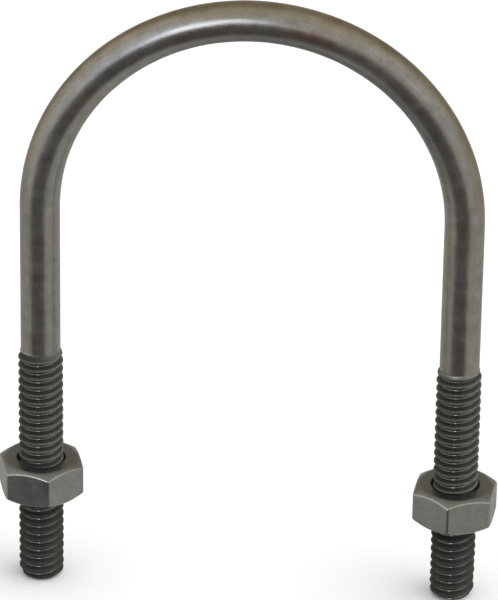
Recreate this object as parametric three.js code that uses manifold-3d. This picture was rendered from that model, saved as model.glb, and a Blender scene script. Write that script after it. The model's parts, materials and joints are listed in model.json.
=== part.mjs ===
// U-bolt: a round bar bent into a U, with a rolled thread and one hexagon nut on each leg.
// Millimetres, +Z up. The origin is midway between the two leg ends, in the plane of their end faces.
// The legs rise along +Z to the bend, X runs across the two legs, and Y through the bar's thickness.

import * as THREE from 'three';
import * as BufferGeometryUtils from 'three/addons/utils/BufferGeometryUtils.js';
import Module from 'manifold-3d';

const wasm = await Module();
wasm.setup();

// Facets around the bar and its threads, and around the turned edges of the nuts.
const barFacets = 16;
const nutFacets = 36;

// Bar: 5.5 mm across, on leg centres that leave 52.3 mm free between the legs.
const shankRadius = 2.75;
const bendRadius = 28.9;
const bendCentreHeight = 57.35;

// The plain bar is made in equal steps: so many round the bend, and so many down each straight leg.
const bendSteps = 32;
const straightSteps = 8;
const bendLength = Math.PI * bendRadius;
const straightLength = straightSteps * bendLength / bendSteps;
const plainBarStart = bendCentreHeight - straightLength;

// Thread: 1/4 inch by 20 to the inch, right-handed, with flanks 60 degrees apart.
const pitch = 25.4 / 20;
const wideningPerRadius = 2 * Math.tan(Math.PI / 6);
const crestRadius = 3.125;
const pitchRadius = 2.725;
const rootRadius = 2.4;

// Above the last full crest the thread runs out into the bar. At the end of the leg it is chamfered.
const lastCrestHeight = 34.5;
const runOutLength = 1.3;
const endFlatRadius = 2.35;
const endChamferLength = 0.8;

// Nuts: hexagon nuts chamfered on both sides, countersunk at both mouths of the thread.
const nutAcrossFlats = 10.9;
const nutThickness = 5.5;
const nutFaceRadius = 4.85;
const nutChamferSlope = Math.tan(Math.PI / 6);
const countersinkRadius = 3.5;
const nutMinorRadius = 2.56;
const threadClearance = 0.1;

// The lowest slice of a nut lies inside its chamfer and its countersink, so it is a plain round rim.
const rimThickness = 0.2;
const rimGap = 0.05;

// Each nut's side of the part, the height of its middle, how far its front corner is turned from -Y, and
// how far the thread that it runs on is turned about its leg.
const nutPlaces = {
  left_nut: { side: -1, height: 15.8, turnDegrees: 16.1, threadTurnDegrees: 180 },
  right_nut: { side: 1, height: 14.7, turnDegrees: -7.4, threadTurnDegrees: 0 },
};

const barSteel = new THREE.MeshStandardMaterial({ color: 0x6b655f, roughness: 0.4, metalness: 1 });
const nutSteel = new THREE.MeshStandardMaterial({ color: 0x85817c, roughness: 0.35, metalness: 1 });

// ---- between three.js geometry and solids ----

function toSolid(geometry) {
  const bare = geometry.clone();
  bare.deleteAttribute('normal');
  bare.deleteAttribute('uv');
  const merged = BufferGeometryUtils.mergeVertices(bare, 1e-5);
  return new wasm.Manifold(new wasm.Mesh({
    numProp: 3,
    vertProperties: new Float32Array(merged.attributes.position.array),
    triVerts: new Uint32Array(merged.index.array),
  }));
}

function toGeometry(solid) {
  const mesh = solid.getMesh();
  const geometry = new THREE.BufferGeometry();
  geometry.setAttribute('position', new THREE.BufferAttribute(mesh.vertProperties, 3));
  geometry.setIndex(new THREE.BufferAttribute(mesh.triVerts, 1));
  geometry.computeVertexNormals();
  return geometry;
}

// A turned shape about Z. The outline is [radius, height] pairs, listed with the material on the left.
function turned(outline, facets) {
  const points = outline.map(([radius, height]) => new THREE.Vector2(radius, height));
  const geometry = new THREE.LatheGeometry(points, facets);
  geometry.rotateX(Math.PI / 2);
  return geometry;
}

// ---- threads ----

// One pitch of a screw's profile as [radius, height] pairs. The flanks keep their angle, so the flats
// at the root and the crest follow from the radii.
function threadProfile(root, crest, middle) {
  const halfWidthAt = (radius) => (pitch / 2 + (middle - radius) * wideningPerRadius) / 2;
  return [
    [root, -halfWidthAt(root)],
    [crest, -halfWidthAt(crest)],
    [crest, halfWidthAt(crest)],
    [root, halfWidthAt(root)],
  ];
}

// A right-handed screw about Z that reaches past both heights. The middle of its crest crosses the +X
// side at height 0 and at every whole pitch from there, so any two screws are in step.
function screw(root, crest, middle, bottom, top) {
  const profile = threadProfile(root, crest, middle);
  const corners = profile.length;
  const firstTurn = Math.floor(bottom / pitch) - 2;
  const lastTurn = Math.ceil(top / pitch) + 2;
  const rows = (lastTurn - firstTurn) * corners;
  const positions = [];
  for (let column = 0; column < barFacets; column += 1) {
    const share = column / barFacets;
    const angle = 2 * Math.PI * share;
    for (let row = 0; row < rows; row += 1) {
      const [radius, height] = profile[row % corners];
      const turn = firstTurn + Math.floor(row / corners) + share;
      positions.push(radius * Math.cos(angle), radius * Math.sin(angle), height + turn * pitch);
    }
  }
  const bottomApex = positions.length / 3;
  const topApex = bottomApex + 1;
  positions.push(0, 0, (firstTurn - 1) * pitch);
  positions.push(0, 0, (lastTurn + 1) * pitch);

  // One column on from the last is the first column again, one pitch further up.
  const at = (column, row) => (column < barFacets ? column * rows + row : row + corners);
  const faces = [];
  for (let column = 0; column < barFacets; column += 1) {
    const closing = column + 1 === barFacets;
    const top = closing ? rows - corners - 1 : rows - 1;
    for (let row = 0; row < top; row += 1) {
      faces.push(at(column, row), at(column + 1, row), at(column + 1, row + 1));
      faces.push(at(column, row), at(column + 1, row + 1), at(column, row + 1));
    }
    faces.push(bottomApex, at(column + 1, 0), at(column, 0));
    faces.push(topApex, at(column, top), at(column + 1, top));
  }
  for (let step = 0; step < corners; step += 1) {
    faces.push(bottomApex, at(0, step), at(0, step + 1));
    faces.push(topApex, at(barFacets - 1, rows - 1 - step), at(barFacets - 1, rows - 2 - step));
  }
  const geometry = new THREE.BufferGeometry();
  geometry.setAttribute('position', new THREE.Float32BufferAttribute(positions, 3));
  geometry.setIndex(faces);
  return toSolid(geometry);
}

// ---- the bent rod ----

// The centre line of the plain bar: up the left leg, round the half circle, and down the right leg.
class BarCentreLine extends THREE.Curve {
  getPoint(t, target = new THREE.Vector3()) {
    const along = t * (2 * straightLength + bendLength);
    if (along < straightLength) {
      return target.set(-bendRadius, 0, plainBarStart + along);
    }
    if (along > straightLength + bendLength) {
      return target.set(bendRadius, 0, plainBarStart + 2 * straightLength + bendLength - along);
    }
    const angle = Math.PI - (along - straightLength) / bendRadius;
    const height = bendCentreHeight + bendRadius * Math.sin(angle);
    return target.set(bendRadius * Math.cos(angle), 0, height);
  }
}

function plainBar() {
  const corners = [];
  for (let facet = 0; facet < barFacets; facet += 1) {
    const angle = 2 * Math.PI * facet / barFacets;
    corners.push(new THREE.Vector2(shankRadius * Math.cos(angle), shankRadius * Math.sin(angle)));
  }
  const steps = bendSteps + 2 * straightSteps;
  const centreLine = new BarCentreLine();
  centreLine.arcLengthDivisions = 20 * steps;
  return toSolid(new THREE.ExtrudeGeometry(new THREE.Shape(corners), {
    steps,
    extrudePath: centreLine,
    bevelEnabled: false,
  }));
}

// A leg's thread about Z, with its end face at height 0.
function legThread() {
  const clearRadius = crestRadius + threadClearance;
  const buriedRadius = shankRadius - 0.02;
  const top = lastCrestHeight + runOutLength;
  const outside = turned([
    [0, 0],
    [endFlatRadius, 0],
    [crestRadius, endChamferLength],
    [clearRadius, endChamferLength],
    [clearRadius, lastCrestHeight],
    [crestRadius, lastCrestHeight],
    [buriedRadius, top],
    [0, top],
  ], barFacets);
  return screw(rootRadius, crestRadius, pitchRadius, 0, top).intersect(toSolid(outside));
}

function bentRod() {
  const thread = legThread();
  const threads = Object.values(nutPlaces).map(({ side, threadTurnDegrees }) => (
    thread.rotate(0, 0, threadTurnDegrees).translate(side * bendRadius, 0, 0)
  ));
  return threads.reduce((rod, legsThread) => rod.add(legsThread), plainBar());
}

// ---- the nuts, each about Z with its middle at height 0 ----

function hexagonBlank(turnDegrees) {
  const cornerRadius = nutAcrossFlats / Math.sqrt(3);
  const corners = [];
  for (let corner = 0; corner < 6; corner += 1) {
    const angle = THREE.MathUtils.degToRad(60 * corner - 90 + turnDegrees);
    corners.push(new THREE.Vector2(cornerRadius * Math.cos(angle), cornerRadius * Math.sin(angle)));
  }
  const blank = new THREE.ExtrudeGeometry(new THREE.Shape(corners), {
    depth: nutThickness,
    bevelEnabled: false,
  });
  blank.translate(0, 0, -nutThickness / 2);
  return toSolid(blank);
}

// What the two chamfers leave of the blank, above the rim and its gap.
function chamferEnvelope() {
  const widest = nutAcrossFlats;
  const chamferRise = (widest - nutFaceRadius) * nutChamferSlope;
  const face = nutThickness / 2;
  const cut = rimThickness + rimGap;
  const middle = chamferRise < face ? face - chamferRise : 0;
  const widestKept = nutFaceRadius + (face - middle) / nutChamferSlope;
  return toSolid(turned([
    [0, cut - face],
    [nutFaceRadius + cut / nutChamferSlope, cut - face],
    [widestKept, -middle],
    [widestKept, middle],
    [nutFaceRadius, face],
    [0, face],
  ], nutFacets));
}

// The countersink at the upper mouth. Turned over, it is the one at the lower mouth.
function countersink() {
  const face = nutThickness / 2;
  const proud = 1;
  return toSolid(turned([
    [0, face - countersinkRadius],
    [countersinkRadius + proud, face + proud],
    [0, face + proud],
  ], nutFacets));
}

function nut({ height, turnDegrees, threadTurnDegrees }) {
  const face = nutThickness / 2;
  const thread = screw(
    nutMinorRadius,
    crestRadius + threadClearance,
    pitchRadius + threadClearance,
    height - face,
    height + face,
  );
  return hexagonBlank(turnDegrees)
    .intersect(chamferEnvelope())
    .subtract(thread.rotate(0, 0, threadTurnDegrees).translate(0, 0, -height))
    .subtract(countersink())
    .subtract(countersink().rotate(180, 0, 0));
}

function nutRim() {
  const bottom = -nutThickness / 2;
  const top = bottom + rimThickness;
  return turned([
    [countersinkRadius, bottom],
    [nutFaceRadius, bottom],
    [nutFaceRadius + rimThickness / nutChamferSlope, top],
    [countersinkRadius - rimThickness, top],
    [countersinkRadius, bottom],
  ], nutFacets);
}

// ---- the assembly ----

function piece(name, geometry, material) {
  const mesh = new THREE.Mesh(geometry, material);
  mesh.name = name;
  return mesh;
}

const uBolt = new THREE.Group();
uBolt.add(piece('bent_rod', toGeometry(bentRod()), barSteel));
for (const [name, place] of Object.entries(nutPlaces)) {
  const onLeg = new THREE.Group();
  onLeg.position.set(place.side * bendRadius, 0, place.height);
  onLeg.add(piece(name, toGeometry(nut(place)), nutSteel));
  onLeg.add(piece(`${name}_lower_rim`, nutRim(), nutSteel));
  uBolt.add(onLeg);
}

export default uBolt;
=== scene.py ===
"""Looks of the U-bolt: a threaded bar and two nuts in satin stainless steel, on a pale floor."""

import json
import math

import bpy
import numpy as np
from mathutils import Matrix, Vector


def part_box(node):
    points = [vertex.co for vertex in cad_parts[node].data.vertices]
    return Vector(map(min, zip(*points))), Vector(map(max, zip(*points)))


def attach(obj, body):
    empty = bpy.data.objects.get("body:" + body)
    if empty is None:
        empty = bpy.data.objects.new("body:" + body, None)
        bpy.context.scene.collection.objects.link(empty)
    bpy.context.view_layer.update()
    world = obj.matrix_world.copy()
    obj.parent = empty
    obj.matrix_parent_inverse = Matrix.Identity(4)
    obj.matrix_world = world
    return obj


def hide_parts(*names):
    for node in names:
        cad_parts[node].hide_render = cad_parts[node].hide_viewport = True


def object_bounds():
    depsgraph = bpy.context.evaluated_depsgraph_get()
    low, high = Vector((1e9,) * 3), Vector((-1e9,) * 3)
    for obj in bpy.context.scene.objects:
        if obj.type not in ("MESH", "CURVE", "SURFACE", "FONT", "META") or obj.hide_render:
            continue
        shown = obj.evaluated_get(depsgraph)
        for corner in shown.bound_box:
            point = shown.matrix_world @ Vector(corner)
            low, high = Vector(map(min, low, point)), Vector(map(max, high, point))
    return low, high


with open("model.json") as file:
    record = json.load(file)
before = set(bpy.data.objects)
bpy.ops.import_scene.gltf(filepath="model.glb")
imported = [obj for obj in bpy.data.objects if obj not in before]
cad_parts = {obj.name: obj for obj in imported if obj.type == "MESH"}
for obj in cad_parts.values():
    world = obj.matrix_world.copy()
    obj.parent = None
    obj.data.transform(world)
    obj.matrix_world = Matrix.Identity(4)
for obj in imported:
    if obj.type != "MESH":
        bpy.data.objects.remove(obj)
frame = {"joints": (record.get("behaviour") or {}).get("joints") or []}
cad_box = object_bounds()

# ---------------------------------------------------------------------------
# Sizes. Lengths are millimetres here and become metres in new_piece.
# ---------------------------------------------------------------------------

MM = 0.001


def nut_place(name):
    """The middle of a nut, from the joint that it turns about."""
    joint = next(j for j in frame["joints"] if j["name"] == f"{name}_turn")
    return Vector(joint["pos_m"]) / MM


rod_low, rod_high = (Vector(corner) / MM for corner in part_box("bent_rod"))
NUT_PLACES = {name: nut_place(name) for name in ("left_nut", "right_nut")}
BEND_RADIUS = NUT_PLACES["right_nut"].x
CREST_RADIUS = rod_high.x - BEND_RADIUS
SHANK_RADIUS = 2.75
BEND_CENTRE_HEIGHT = rod_high.z - BEND_RADIUS - SHANK_RADIUS

PITCH = 1.27
FLANK_SLOPE = math.tan(math.radians(60))
PITCH_RADIUS = 2.725
ROOT_RADIUS = 2.4
CREST_ROUNDING = 0.1
ROOT_ROUNDING = 0.3

# Each leg's side of the part, and how far its thread is turned about it.
LEG_SIDES = {"left": -1, "right": 1}
THREAD_TURNS = {"left": math.pi, "right": 0.0}

# How deep the crests are worn, near a leg's end and above it, and the random seed of each leg's wear.
END_WEAR = {"left": 0.02, "right": 0.045}
WEAR = 0.012
WEAR_SEEDS = {"left": 11, "right": 12}

# Going up, the grooves begin to fill and the crests to sink, and then the plain bar begins.
RUN_OUT_START = 34.3
PLAIN_START = 35.9
END_FLAT_RADIUS = 2.35
END_CHAMFER = 0.8

# Mesh density: columns around the bar, rows in one pitch, and the bar's ring spacing.
COLUMNS = 96
ROWS_PER_PITCH = 24
RING_SPACING = 0.5

# A leg's helical grid reaches from its end to a spiral edge, one PITCH high, that starts here. The
# rings of the plain bar start a little above it. The bar's length is its centre line's.
LEG_GRID_TOP = PLAIN_START + 0.1
LEG_TOP = LEG_GRID_TOP + 1.5 * PITCH
BAR_LENGTH = 2.0 * BEND_CENTRE_HEIGHT + math.pi * BEND_RADIUS

# The middles of a brown stain and of a paler patch under it, on the crown, right of its top.
STAIN_ALONG = BAR_LENGTH / 2.0 + 8.0
PALER_PATCH_ALONG = BAR_LENGTH / 2.0 + 14.0

NUT_ACROSS_FLATS = 10.9
NUT_HALF_THICKNESS = 2.75
NUT_FACE_RADIUS = 4.85
NUT_CHAMFER_SLOPE = math.tan(math.radians(30))
NUT_MOUTH_RADIUS = 3.5
NUT_MOUTH_STEP = 0.3
NUT_MINOR_RADIUS = 2.56
NUT_THREAD_CLEARANCE = 0.08
NUT_CORNER_ROUNDING = 0.5
NUT_CROWN_ROUNDING = 0.9
NUT_EDGE_ROUNDING = 0.32
NUT_MOUTH_ROUNDING = 0.06
# How far a corner of each nut is turned from the front, in degrees.
NUT_TURNS = {"left_nut": 16.1, "right_nut": -7.4}

# Lights are (azimuth, elevation, full within, gone beyond, light), each over the ones before it.
# What the steel mirrors:
MIRRORED_BASE = (0.40, 0.385, 0.33)
MIRRORED = [
    (0.0, 90.0, 20.0, 80.0, (0.50, 0.475, 0.37)),       # ceiling
    (180.0, 20.0, 20.0, 75.0, (0.27, 0.235, 0.165)),    # wall behind
    (180.0, -32.0, 25.0, 50.0, (0.50, 0.50, 0.48)),     # pale table behind
    (-78.0, 22.0, 10.0, 55.0, (0.62, 0.60, 0.53)),      # left side panel
    (62.0, 24.0, 10.0, 50.0, (0.57, 0.555, 0.49)),      # right side panel
    (-60.0, -85.0, 25.0, 65.0, (0.23, 0.225, 0.21)),    # floor under the front left
    (78.0, -40.0, 30.0, 60.0, (0.44, 0.43, 0.38)),      # light floor on the right
    (-8.0, -27.0, 27.0, 43.0, (0.105, 0.095, 0.088)),   # dark front
    (-34.0, 20.0, 8.0, 30.0, (0.72, 0.74, 0.76)),       # halo of the key light
    (-15.5, 20.0, 3.0, 9.0, (7.0, 7.5, 8.2)),           # key light
]

# What lights the floor and the grimy, shade-painted thread:
SOFT_BASE = (0.10, 0.10, 0.105)
SOFT = [
    (0.0, 90.0, 10.0, 70.0, (1.5, 1.5, 1.5)),           # overhead
    (85.0, 10.0, 10.0, 65.0, (3.1, 3.07, 3.0)),         # from the right
]
# What the camera sees behind the part:
BACKDROP = (1.02, 1.02, 1.02)

# Angles are in degrees, the lens in millimetres, and the distance and the aim in metres. The camera aims
# this far left of the middle of the part's box.
CAMERA_AZIMUTH = 3.92
CAMERA_ELEVATION = 27.23
CAMERA_ROLL = 0.89
CAMERA_DISTANCE = 0.706
CAMERA_LENS = 309.7
CAMERA_AIM_LEFT = 0.00005


# ---------------------------------------------------------------------------
# Geometry helpers
# ---------------------------------------------------------------------------

def smooth_step(low, high, value):
    share = np.clip((value - low) / (high - low), 0.0, 1.0)
    return share * share * (3.0 - 2.0 * share)


def smooth_min(first, second, blend):
    """The smaller of two arrays, with the kink between them rounded over blend."""
    share = np.clip(0.5 + 0.5 * (second - first) / blend, 0.0, 1.0)
    return second + (first - second) * share - blend * share * (1.0 - share)


def smooth_max(first, second, blend):
    return -smooth_min(-np.asarray(first, float), -np.asarray(second, float), blend)


def ripples(angle, along, size, longest, shortest, seed, waves=24):
    """Gentle seamless unevenness over a tube, about size high, from waves of random direction."""
    random = np.random.default_rng(seed)
    total = np.zeros(np.broadcast(angle, along).shape)
    for _ in range(waves):
        length = random.uniform(shortest, longest)
        turns = random.integers(-4, 5)
        phase = random.uniform(0.0, 2.0 * math.pi)
        total += np.cos(turns * angle + 2.0 * math.pi * along / length + phase)
    return size * total / math.sqrt(waves)


def thread_radius(angle, height, root, crest, middle):
    """A rounded 60 degree thread. The crest crosses angle 0 at every whole pitch of height."""
    phase = np.mod(height / PITCH - angle / (2.0 * math.pi), 1.0)
    from_crest = np.minimum(phase, 1.0 - phase) * PITCH
    flank = middle + (PITCH / 4.0 - from_crest) * FLANK_SLOPE
    return smooth_max(smooth_min(flank, crest, CREST_ROUNDING), root, ROOT_ROUNDING)


def new_piece(name, points, faces, attributes, body, slot, *replaced):
    """A smooth mesh object from points in millimetres, riding on a body."""
    mesh = bpy.data.meshes.new(name)
    mesh.from_pydata((np.asarray(points) * MM).tolist(), [], faces)
    for label, values in attributes.items():
        values = np.asarray(values, np.float32)
        kind, field = ("FLOAT", "value") if values.ndim == 1 else ("FLOAT_VECTOR", "vector")
        mesh.attributes.new(label, kind, "POINT").data.foreach_set(field, values.reshape(-1))
    mesh.shade_smooth()
    mesh.validate()
    piece = bpy.data.objects.new(name, mesh)
    bpy.context.scene.collection.objects.link(piece)
    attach(piece, body)
    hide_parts(*replaced)
    return piece


def without_repeats(faces, same_as):
    """Faces with merged points, without the ones that collapse."""
    kept = []
    for face in faces:
        corners = []
        for corner in face:
            corner = same_as[corner]
            if corner not in corners:
                corners.append(corner)
        if len(corners) > 2:
            kept.append(corners)
    return kept


# ---------------------------------------------------------------------------
# The bent rod
# ---------------------------------------------------------------------------

class RodMesh:
    """The rod as one closed skin: a helical grid on each threaded leg, and rings over the plain bar.

    The rows of a leg's grid follow the thread's helix, so one turn round the leg is one pitch up,
    which is ROWS_PER_PITCH rows.
    """

    def __init__(self):
        self.points = []
        self.faces = []
        self.groove = []
        self.bar_place = []

    def add_points(self, points, groove, bar_place):
        start = sum(len(block) for block in self.points)
        self.points.append(points)
        self.groove.append(groove)
        self.bar_place.append(bar_place)
        return start

    def add_leg(self, side):
        """A leg's grid, which reaches PITCH above LEG_GRID_TOP. It returns at(column, row) and the rows."""
        centre_x = LEG_SIDES[side] * BEND_RADIUS
        row_step = PITCH / ROWS_PER_PITCH
        cap_depth = 4 * row_step
        top = LEG_GRID_TOP
        rows = math.ceil((top + PITCH + cap_depth) / row_step) + 1
        share = np.arange(COLUMNS)[:, None] / COLUMNS
        angle = 2.0 * math.pi * share
        height = top - row_step * np.arange(rows - 1, -1, -1)[None, :] + PITCH * share
        height = np.where(np.abs(height) < row_step / 2.0, 0.0, height)
        angle = np.broadcast_to(angle, height.shape)

        radius = leg_radius(side, angle, height)
        below = np.clip(1.0 + height / cap_depth, 0.0, 1.0)
        radius = np.where(height < 0.0, END_FLAT_RADIUS * below, radius)
        groove = np.clip((CREST_RADIUS - radius) / (CREST_RADIUS - ROOT_RADIUS), 0.0, 1.0)
        groove = groove * (1.0 - smooth_step(PLAIN_START - 0.8, PLAIN_START, height))
        height = np.maximum(height, 0.0)
        across = radius * np.cos(angle)
        thick = radius * np.sin(angle)
        points = np.stack([centre_x + across, thick, height], axis=-1).reshape(-1, 3)
        along = height if side == "left" else BAR_LENGTH - height
        bar_place = np.stack([-LEG_SIDES[side] * across, thick, along], axis=-1).reshape(-1, 3)
        start = self.add_points(points, groove.reshape(-1), bar_place)

        def at(column, row):
            if column < COLUMNS:
                return start + column * rows + row
            return start + row + ROWS_PER_PITCH

        faces = []
        for column in range(COLUMNS):
            last = rows - 1 if column + 1 < COLUMNS else rows - 1 - ROWS_PER_PITCH
            for row in range(last):
                faces.append((
                    at(column, row), at(column + 1, row), at(column + 1, row + 1), at(column, row + 1),
                ))
        tip = int(np.argmin(radius.reshape(-1)))
        on_tip = (radius.reshape(-1) <= 1e-9)
        same_as = {
            start + index: start + (tip if on_tip[index] else index)
            for index in range(len(points))
        }
        self.faces += without_repeats(faces, same_as)
        return at, rows

    def add_ring(self, along, centre, inward):
        """A ring of the plain bar, along the bar from the left leg's end. Inward is across the U."""
        angle = 2.0 * math.pi * np.arange(COLUMNS) / COLUMNS
        on_rings = smooth_step(LEG_TOP, LEG_TOP + 4.0, min(along, BAR_LENGTH - along))
        radius = SHANK_RADIUS + on_rings * ripples(angle, along, 0.006, 30.0, 5.0, seed=5)
        across = radius * np.cos(angle)
        thick = radius * np.sin(angle)
        points = np.asarray(centre) + np.outer(across, inward) + np.outer(thick, (0.0, 1.0, 0.0))
        bar_place = np.stack([across, thick, np.full(COLUMNS, along)], axis=-1)
        return self.add_points(points, np.zeros(COLUMNS), bar_place)

    def join_leg(self, at, rows, ring):
        """Faces from the top row of a leg to a ring. ring(column) is the ring's point over a column."""
        top = rows - 1
        for column in range(COLUMNS - 1):
            self.faces.append((
                at(column, top), at(column + 1, top), ring(column + 1), ring(column),
            ))
        hub = at(0, top)
        last = COLUMNS - 1
        for row in range(top - ROWS_PER_PITCH, top):
            self.faces.append((hub, at(last, row + 1), at(last, row)))
        self.faces.append((hub, ring(last), at(last, top)))
        self.faces.append((hub, ring(0), ring(last)))


def leg_radius(side, angle, height):
    """The radius over a leg's surface, from its chamfered end to the plain bar."""
    thread = thread_radius(angle - THREAD_TURNS[side], height, ROOT_RADIUS, CREST_RADIUS, PITCH_RADIUS)
    wear = WEAR + (END_WEAR[side] - WEAR) * (1.0 - smooth_step(2.0, 9.0, height))
    uneven = ripples(angle, height, 1.0, 6.0, 0.7, WEAR_SEEDS[side])
    thread = thread - wear * np.abs(uneven) * smooth_step(ROOT_RADIUS, CREST_RADIUS, thread)
    run_out = smooth_step(RUN_OUT_START, PLAIN_START, height)
    ceiling = CREST_RADIUS + (SHANK_RADIUS - CREST_RADIUS) * run_out
    floor = ROOT_RADIUS + (SHANK_RADIUS - ROOT_RADIUS) * run_out
    radius = np.maximum(np.minimum(thread, ceiling), floor)
    radius = np.where(height > PLAIN_START, SHANK_RADIUS, radius)
    chamfer = END_FLAT_RADIUS + np.maximum(height, 0.0) * (CREST_RADIUS - END_FLAT_RADIUS) / END_CHAMFER
    return np.minimum(radius, chamfer)


def bar_frame(along):
    """(centre of the bar, direction across the U) at a distance along the bar from the left leg's end."""
    on_bend = min(max(along - BEND_CENTRE_HEIGHT, 0.0), math.pi * BEND_RADIUS)
    turned = on_bend / BEND_RADIUS
    inward = Vector((math.cos(turned), 0.0, -math.sin(turned)))
    centre = Vector((0.0, 0.0, BEND_CENTRE_HEIGHT)) - BEND_RADIUS * inward
    centre.z += min(along - BEND_CENTRE_HEIGHT, 0.0)
    centre.z -= max(along - BEND_CENTRE_HEIGHT - math.pi * BEND_RADIUS, 0.0)
    return centre, inward


def build_rod():
    rod = RodMesh()
    left_at, left_rows = rod.add_leg("left")
    right_at, right_rows = rod.add_leg("right")

    ring_count = round((BAR_LENGTH - 2.0 * LEG_TOP) / RING_SPACING)
    rings = []
    for along in np.linspace(LEG_TOP, BAR_LENGTH - LEG_TOP, ring_count + 1):
        rings.append(rod.add_ring(along, *bar_frame(along)))
    for lower, upper in zip(rings, rings[1:]):
        for column in range(COLUMNS):
            after = (column + 1) % COLUMNS
            rod.faces.append((lower + column, lower + after, upper + after, upper + column))

    rod.join_leg(left_at, left_rows, lambda column: rings[0] + column)
    rod.join_leg(right_at, right_rows, lambda column: rings[-1] + (COLUMNS // 2 - column) % COLUMNS)

    attributes = {
        "groove": np.concatenate(rod.groove),
        "bar_place": np.concatenate(rod.bar_place),
    }
    return new_piece(
        "bent_rod_skin", np.concatenate(rod.points), rod.faces, attributes,
        "rod", "bar_steel", "bent_rod",
    )


# ---------------------------------------------------------------------------
# The nuts
# ---------------------------------------------------------------------------

def hexagon_radius(angle):
    """The radius of the hexagon with rounded corners, at an angle from one of its corners."""
    flat = NUT_ACROSS_FLATS / 2.0
    from_corner = abs((angle + math.pi / 6.0) % (math.pi / 3.0) - math.pi / 6.0)
    arc_centre = (flat - NUT_CORNER_ROUNDING) / math.cos(math.pi / 6.0)
    arc_end = math.atan2(
        NUT_CORNER_ROUNDING * math.sin(math.pi / 6.0),
        arc_centre + NUT_CORNER_ROUNDING * math.cos(math.pi / 6.0),
    )
    if from_corner > arc_end:
        return flat / math.cos(math.pi / 6.0 - from_corner)
    off_axis = arc_centre * math.sin(from_corner)
    return arc_centre * math.cos(from_corner) + math.sqrt(NUT_CORNER_ROUNDING**2 - off_axis**2)


def rounded_outline(corners):
    """The points, and how much wear and painted highlight each has, along (radius, height, rounding)
    corners.
    """
    arc_steps = 5
    points = []
    wear_and_sheen = []
    for index, (radius, height, rounding) in enumerate(corners):
        here = np.array((radius, height))
        if not rounding:
            points.append(here)
            wear_and_sheen.append(0.0)
            continue
        before = np.array(corners[index - 1][:2]) - here
        after = np.array(corners[index + 1][:2]) - here
        before /= np.linalg.norm(before)
        after /= np.linalg.norm(after)
        half_turn = (math.pi - math.acos(float(np.clip(before @ after, -1.0, 1.0)))) / 2.0
        reach = rounding * math.tan(half_turn)
        middle = (before + after) / np.linalg.norm(before + after)
        arc_centre = here + middle * rounding / math.cos(half_turn)
        first = here + before * reach - arc_centre
        last = here + after * reach - arc_centre
        for step in range(arc_steps + 1):
            share = step / arc_steps
            turn = 2.0 * half_turn
            arm = (math.sin((1.0 - share) * turn) * first + math.sin(share * turn) * last) / math.sin(turn)
            points.append(arc_centre + arm)
            # Wear with a painted highlight, strongest in the middle of each outer edge's rounding.
            wear_and_sheen.append((1.0 - abs(2.0 * share - 1.0)) * (radius > NUT_FACE_RADIUS))
    return points, wear_and_sheen


def nut_outline(reach):
    """The outside of a nut in a half plane whose outermost radius is reach, from mouth to mouth."""
    half = NUT_HALF_THICKNESS
    drop = (reach - NUT_FACE_RADIUS) * NUT_CHAMFER_SLOPE
    top_half = [
        (NUT_MOUTH_RADIUS - NUT_MOUTH_STEP, half - NUT_MOUTH_STEP, 0.0),
        (NUT_MOUTH_RADIUS, half, NUT_MOUTH_ROUNDING),
        (NUT_FACE_RADIUS, half, NUT_CROWN_ROUNDING),
        (reach, half - drop, NUT_EDGE_ROUNDING),
    ]
    side = [(reach, (half - drop) * share, 0.0) for share in (0.5, 0.0, -0.5)]
    bottom_half = [(radius, -height, rounding) for radius, height, rounding in reversed(top_half)]
    return rounded_outline(top_half + side + bottom_half)


def nut_angles():
    """Angles round a nut, closer together at the rounded corners."""
    near_corner = np.radians(np.linspace(-3.0, 3.0, 17))
    between = np.radians(np.linspace(4.5, 55.5, 27))
    one_sixth = np.concatenate([near_corner, between])
    return np.concatenate([one_sixth + math.pi / 3.0 * corner for corner in range(6)])


def build_nut(name):
    place = NUT_PLACES[name]
    turn = math.radians(NUT_TURNS[name] - 90.0)
    half = NUT_HALF_THICKNESS
    bore_heights = np.linspace(NUT_MOUTH_STEP - half, half - NUT_MOUTH_STEP, 90)[1:-1]
    columns = []
    for angle in nut_angles():
        outline, wear_and_sheen = nut_outline(hexagon_radius(angle))
        outline = np.array(outline)
        here = angle + turn
        thread = thread_radius(
            here - THREAD_TURNS[name.split("_")[0]], bore_heights + place.z,
            NUT_MINOR_RADIUS, CREST_RADIUS + NUT_THREAD_CLEARANCE, PITCH_RADIUS + NUT_THREAD_CLEARANCE,
        )
        mouth = NUT_MOUTH_RADIUS - (half - np.abs(bore_heights))
        bore = np.stack([np.maximum(thread, mouth), bore_heights], axis=-1)
        section = np.concatenate([outline, bore])
        bore_share = np.clip((NUT_MOUTH_RADIUS - section[:, 0]) / NUT_MOUTH_STEP, 0.0, 1.0)
        # Painted shade: the flat top and bottom faces are darkened.
        face_shade = smooth_step(half - 0.6, half, np.abs(section[:, 1])) * (section[:, 0] > NUT_MOUTH_RADIUS)
        points = np.stack([
            place.x + section[:, 0] * math.cos(here),
            section[:, 0] * math.sin(here),
            place.z + section[:, 1],
        ], axis=-1)
        wear_and_sheen = np.concatenate([wear_and_sheen, np.zeros(len(bore))])
        columns.append((points, wear_and_sheen, bore_share, face_shade))
    rows = len(columns[0][0])
    count = len(columns)
    faces = []
    for column in range(count):
        after = (column + 1) % count
        for row in range(rows):
            below = (row + 1) % rows
            faces.append((
                column * rows + row, column * rows + below, after * rows + below, after * rows + row,
            ))
    points = np.concatenate([column[0] for column in columns])
    attributes = {
        "wear_and_sheen": np.concatenate([column[1] for column in columns]),
        "groove": np.concatenate([column[2] for column in columns]),
        "face_shade": np.concatenate([column[3] for column in columns]),
    }
    return new_piece(
        f"{name}_skin", points, faces, attributes,
        name, "nut_steel", name, f"{name}_lower_rim",
    )


# ---------------------------------------------------------------------------
# Materials
# ---------------------------------------------------------------------------

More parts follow.
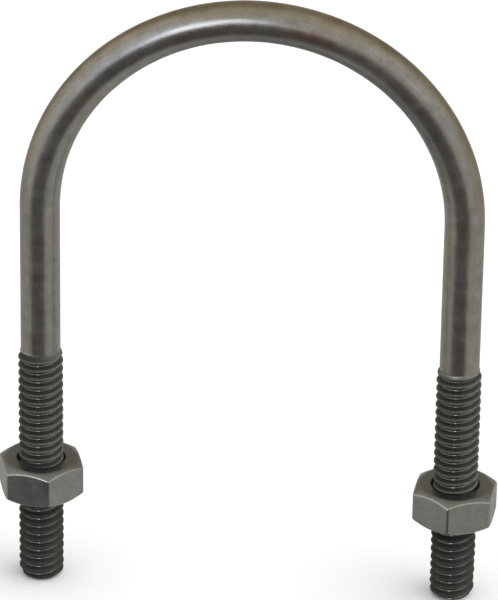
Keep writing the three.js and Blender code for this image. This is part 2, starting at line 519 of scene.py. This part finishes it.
class Shading:
    """A node tree with short calls for the nodes used here. Each call returns the node's output."""

    def __init__(self, tree):
        self.tree = tree
        self.tree.nodes.clear()

    def node(self, kind, inputs=(), **settings):
        made = self.tree.nodes.new(kind)
        for key, value in settings.items():
            setattr(made, key, value)
        for key, value in dict(inputs).items():
            self.put(made.inputs[key], value)
        return made

    def put(self, socket, value):
        if isinstance(value, bpy.types.NodeSocket):
            self.tree.links.new(value, socket)
        else:
            socket.default_value = value

    def noise(self, vector, scale, detail=3.0, roughness=0.5):
        inputs = {"Vector": vector, "Scale": scale, "Detail": detail, "Roughness": roughness}
        return self.node("ShaderNodeTexNoise", inputs).outputs["Fac"]

    def stretched(self, vector, scale):
        return self.node("ShaderNodeMapping", {"Vector": vector, "Scale": scale}).outputs[0]

    def attribute(self, name, output="Fac"):
        return self.node("ShaderNodeAttribute", attribute_name=name).outputs[output]

    def pits(self, vector, scale, share):
        """1 in sparse round dots. Scale is cells per millimetre, share the part of them with a dot."""
        cells = self.node("ShaderNodeTexVoronoi", {"Vector": vector, "Scale": scale})
        chosen = self.span(cells.outputs["Color"], 1.0 - share, 1.0 - share + 0.02)
        dot = self.span(cells.outputs["Distance"], 0.03, 0.09, 1.0, 0.0)
        return self.math("MULTIPLY", chosen, dot)

    def blend_value(self, share, first, second):
        made = self.node("ShaderNodeMix", data_type="FLOAT")
        self.put(made.inputs[0], share)
        self.put(made.inputs[2], first)
        self.put(made.inputs[3], second)
        return made.outputs[0]

    def near(self, value, middle, reach):
        """1 where a value is the middle one, falling to 0 at reach away from it."""
        away = self.math("ABSOLUTE", self.math("SUBTRACT", value, middle))
        return self.span(away, 0.0, reach, 1.0, 0.0, smooth=True)

    def span(self, value, low, high, to_low=0.0, to_high=1.0, smooth=False):
        inputs = {"Value": value, "From Min": low, "From Max": high, "To Min": to_low, "To Max": to_high}
        kind = "SMOOTHSTEP" if smooth else "LINEAR"
        return self.node("ShaderNodeMapRange", inputs, interpolation_type=kind, clamp=True).outputs[0]

    def math(self, operation, first, second=0.0):
        made = self.node("ShaderNodeMath", operation=operation)
        self.put(made.inputs[0], first)
        self.put(made.inputs[1], second)
        return made.outputs[0]

    def mix(self, share, first, second, blend="MIX"):
        made = self.node("ShaderNodeMix", data_type="RGBA", blend_type=blend)
        self.put(made.inputs[0], share)
        self.put(made.inputs[6], first)
        self.put(made.inputs[7], second)
        return made.outputs[2]

    def bump(self, height, strength, distance, normal=None):
        inputs = {"Height": height, "Strength": strength, "Distance": distance}
        if normal is not None:
            inputs["Normal"] = normal
        return self.node("ShaderNodeBump", inputs).outputs[0]


def rgb(red, green, blue):
    return (red, green, blue, 1.0)


def bar_steel():
    """Drawn bar with a faint grain along it, blotchy tints, a stain and pits. Its thread is grimy, with
    painted shade in its grooves and under the nuts.
    """
    material = bpy.data.materials.new("satin_bar_steel")
    material.use_nodes = True
    shade = Shading(material.node_tree)
    place = shade.attribute("bar_place", "Vector")
    groove = shade.attribute("groove")
    place_parts = shade.node("ShaderNodeSeparateXYZ", {"Vector": place}).outputs
    across, height = place_parts["X"], place_parts["Z"]
    from_end = shade.math("MINIMUM", height, shade.math("SUBTRACT", BAR_LENGTH, height))
    threaded = shade.span(from_end, PLAIN_START - 1.1, PLAIN_START - 0.1, 1.0, 0.0, smooth=True)
    on_crown = shade.span(from_end, BAR_LENGTH / 2.0 - 55.0, BAR_LENGTH / 2.0 - 28.0, smooth=True)
    outside = shade.span(across, -2.65, -1.7, 1.0, 0.0)
    bend_tint = shade.math("MULTIPLY", on_crown, outside)
    paler_patch = shade.math("MULTIPLY", shade.near(height, PALER_PATCH_ALONG, 13.0), shade.near(across, 0.9, 0.8))
    stain = shade.math("MULTIPLY", shade.near(height, STAIN_ALONG, 7.0), shade.near(across, -0.2, 1.3))

    grain = shade.noise(shade.stretched(place, (1.0, 1.0, 0.03)), 3.6, detail=4.0, roughness=0.65)
    mottle = shade.noise(place, 0.55, detail=5.0, roughness=0.6)
    blotch = shade.noise(place, 0.16, detail=2.0)
    speck = shade.noise(place, 3.2, detail=3.0, roughness=0.6)
    pits = shade.pits(place, 0.6, 0.16)

    clean = shade.mix(shade.span(mottle, 0.35, 0.65), rgb(0.40, 0.395, 0.385), rgb(0.55, 0.545, 0.535))
    clean = shade.mix(shade.span(grain, 0.4, 0.62, 0.0, 0.45), clean, rgb(0.33, 0.325, 0.315))
    clean = shade.mix(shade.span(speck, 0.45, 0.75, 0.0, 0.5), clean, rgb(0.28, 0.28, 0.28))
    clean = shade.mix(shade.span(blotch, 0.5, 0.7, 0.0, 0.45), clean, rgb(0.46, 0.40, 0.36))
    clean = shade.mix(bend_tint, clean, rgb(0.93, 0.83, 0.68), "MULTIPLY")
    clean = shade.mix(shade.math("MULTIPLY", stain, 0.75), clean, rgb(0.46, 0.30, 0.24))
    clean = shade.mix(shade.span(pits, 0.0, 1.0, 0.0, 0.6), clean, rgb(0.12, 0.10, 0.09))
    # A paler patch on the crown's underside, right of its top.
    clean = shade.mix(shade.math("MULTIPLY", paler_patch, 0.8), clean, rgb(0.80, 0.78, 0.80))
    crest = shade.mix(shade.span(speck, 0.35, 0.7), rgb(0.18, 0.172, 0.15), rgb(0.095, 0.09, 0.078))
    # Painted shadow: the crests are darker near the leg ends, under the nuts.
    crest = shade.mix(shade.span(from_end, 10.0, 14.0, 0.85, 0.0), crest, rgb(0.055, 0.054, 0.052))
    # Dirt in the thread's grooves, together with painted shade that darkens the grooves towards their
    # depth.
    grime_and_shade = shade.mix(shade.span(speck, 0.35, 0.7), rgb(0.030, 0.029, 0.027), rgb(0.055, 0.052, 0.047))
    root = rgb(0.28, 0.275, 0.265)
    in_root = shade.span(groove, 0.90, 0.96)
    dirt_and_shade = shade.mix(shade.span(groove, 0.1, 0.45, smooth=True), crest, grime_and_shade)
    dirt_and_shade = shade.mix(in_root, dirt_and_shade, root)
    colour = shade.mix(threaded, clean, dirt_and_shade)
    metal = shade.blend_value(in_root, shade.span(groove, 0.1, 0.45, 0.45, 0.1), 0.7)
    metal = shade.blend_value(threaded, 1.0, metal)

    plain_rough = shade.span(mottle, 0.3, 0.7, 0.25, 0.33)
    plain_rough = shade.math("ADD", plain_rough, shade.span(grain, 0.35, 0.65, 0.0, 0.04))
    thread_rough = shade.blend_value(in_root, 0.5, 0.12)
    rough = shade.blend_value(threaded, plain_rough, thread_rough)

    lines = shade.bump(grain, 0.16, 0.00004)
    waves = shade.bump(mottle, 0.10, 0.0001, lines)
    fine = shade.bump(speck, shade.span(threaded, 0.0, 1.0, 0.12, 0.5), 0.00003, waves)
    shader = shade.node("ShaderNodeBsdfPrincipled", {
        "Base Color": colour, "Metallic": metal, "Roughness": rough, "Normal": fine,
    })
    shade.node("ShaderNodeOutputMaterial", {"Surface": shader.outputs[0]})
    return material


def nut_steel():
    """Tumbled nut: neutral grey, with painted shade on its flat faces and in its bore, and edges brightened
    by wear and a painted highlight.
    """
    material = bpy.data.materials.new("satin_nut_steel")
    material.use_nodes = True
    shade = Shading(material.node_tree)
    place = shade.stretched(shade.node("ShaderNodeTexCoord").outputs["Object"], (1000.0,) * 3)
    wear_and_sheen = shade.attribute("wear_and_sheen")
    groove = shade.attribute("groove")
    face_shade = shade.attribute("face_shade")

    cloud = shade.noise(place, 0.45, detail=4.0, roughness=0.6)
    speck = shade.noise(place, 3.4, detail=3.0, roughness=0.6)
    scuff = shade.noise(place, 1.5, detail=4.0, roughness=0.7)
    clean = shade.mix(shade.span(cloud, 0.3, 0.7), rgb(0.38, 0.385, 0.395), rgb(0.48, 0.48, 0.485))
    clean = shade.mix(shade.span(scuff, 0.45, 0.7, 0.0, 0.4), clean, rgb(0.31, 0.31, 0.31))
    clean = shade.mix(shade.span(speck, 0.5, 0.75, 0.0, 0.5), clean, rgb(0.24, 0.24, 0.24))
    # Painted shade on the flat top and bottom faces.
    clean = shade.mix(shade.span(face_shade, 0.0, 1.0, 0.0, 0.8), clean, rgb(0.24, 0.25, 0.27))
    # Real wear and a painted highlight brighten the rounded outer edges.
    clean = shade.mix(shade.span(wear_and_sheen, 0.0, 1.0, 0.0, 0.7), clean, rgb(0.78, 0.78, 0.77))
    # Painted shade: the bore and its mouth are darkened.
    colour = shade.mix(shade.span(groove, 0.0, 0.5), clean, rgb(0.05, 0.045, 0.04))

    rough = shade.span(cloud, 0.3, 0.7, 0.30, 0.40)
    fine = shade.bump(speck, 0.3, 0.00003)
    shader = shade.node("ShaderNodeBsdfPrincipled", {
        "Base Color": colour, "Metallic": 1.0, "Roughness": rough, "Normal": fine,
    })
    shade.node("ShaderNodeOutputMaterial", {"Surface": shader.outputs[0]})
    return material


def floor_paint():
    material = bpy.data.materials.new("pale_floor")
    material.use_nodes = True
    shade = Shading(material.node_tree)
    shader = shade.node("ShaderNodeBsdfPrincipled", {
        "Base Color": rgb(0.93, 0.93, 0.925), "Roughness": 0.9, "Specular IOR Level": 0.0,
    })
    shade.node("ShaderNodeOutputMaterial", {"Surface": shader.outputs[0]})
    return material


# ---------------------------------------------------------------------------
# Stage: floor, studio light and camera
# ---------------------------------------------------------------------------

def direction(azimuth, elevation):
    """The unit vector to a place seen from the part. Azimuth 0 is the front, -Y, and 90 is +X."""
    around, up = math.radians(azimuth), math.radians(elevation)
    return Vector((math.sin(around) * math.cos(up), -math.cos(around) * math.cos(up), math.sin(up)))


def add_floor():
    bpy.ops.mesh.primitive_plane_add(size=6.0)
    floor = bpy.context.object
    floor.name = "floor"
    floor.data.materials.append(floor_paint())
    floor.visible_glossy = False
    floor.visible_diffuse = False


def add_studio():
    """A white backdrop, a soft light for matt surfaces, and for reflections a grey tent, dark in front."""
    world = bpy.data.worlds.new("studio")
    bpy.context.scene.world = world
    world.use_nodes = True
    shade = Shading(world.node_tree)
    towards = shade.node("ShaderNodeTexCoord").outputs["Generated"]

    def facing(azimuth, elevation, inner, outer):
        """1 within inner degrees of a direction, and 0 beyond outer degrees."""
        made = shade.node("ShaderNodeVectorMath", operation="DOT_PRODUCT")
        shade.put(made.inputs[0], towards)
        made.inputs[1].default_value = direction(azimuth, elevation)
        return shade.span(
            made.outputs["Value"],
            math.cos(math.radians(outer)), math.cos(math.radians(inner)), smooth=True,
        )

    def room(base, lights):
        colour = rgb(*base)
        for azimuth, elevation, inner, outer, light in lights:
            colour = shade.mix(facing(azimuth, elevation, inner, outer), colour, rgb(*light))
        return colour

    rays = shade.node("ShaderNodeLightPath").outputs
    colour = shade.mix(rays["Is Diffuse Ray"], rgb(*BACKDROP), room(SOFT_BASE, SOFT))
    colour = shade.mix(rays["Is Glossy Ray"], colour, room(MIRRORED_BASE, MIRRORED))
    back = shade.node("ShaderNodeBackground", {"Color": colour, "Strength": 1.0})
    shade.node("ShaderNodeOutputWorld", {"Surface": back.outputs[0]})


def add_camera():
    camera = bpy.data.objects.new("camera", bpy.data.cameras.new("camera"))
    bpy.context.scene.collection.objects.link(camera)
    bpy.context.scene.camera = camera
    camera.data.lens = CAMERA_LENS
    back = direction(CAMERA_AZIMUTH, CAMERA_ELEVATION)
    right = Vector((math.cos(math.radians(CAMERA_AZIMUTH)), math.sin(math.radians(CAMERA_AZIMUTH)), 0.0))
    up = back.cross(right)
    turn = Matrix.Rotation(math.radians(CAMERA_ROLL), 3, back)
    columns = Matrix((turn @ right, turn @ up, back)).transposed()
    low, high = (Vector(corner) for corner in cad_box)
    aim = (low + high) / 2.0 - Vector((CAMERA_AIM_LEFT, 0.0, 0.0))
    camera.matrix_world = Matrix.Translation(aim + CAMERA_DISTANCE * back) @ columns.to_4x4()


scene = bpy.context.scene
scene.view_settings.view_transform = "Standard"

rod = build_rod()
rod.data.materials.append(bar_steel())
nut_material = nut_steel()
for nut_name in NUT_PLACES:
    build_nut(nut_name).data.materials.append(nut_material)

add_floor()
add_studio()
add_camera()
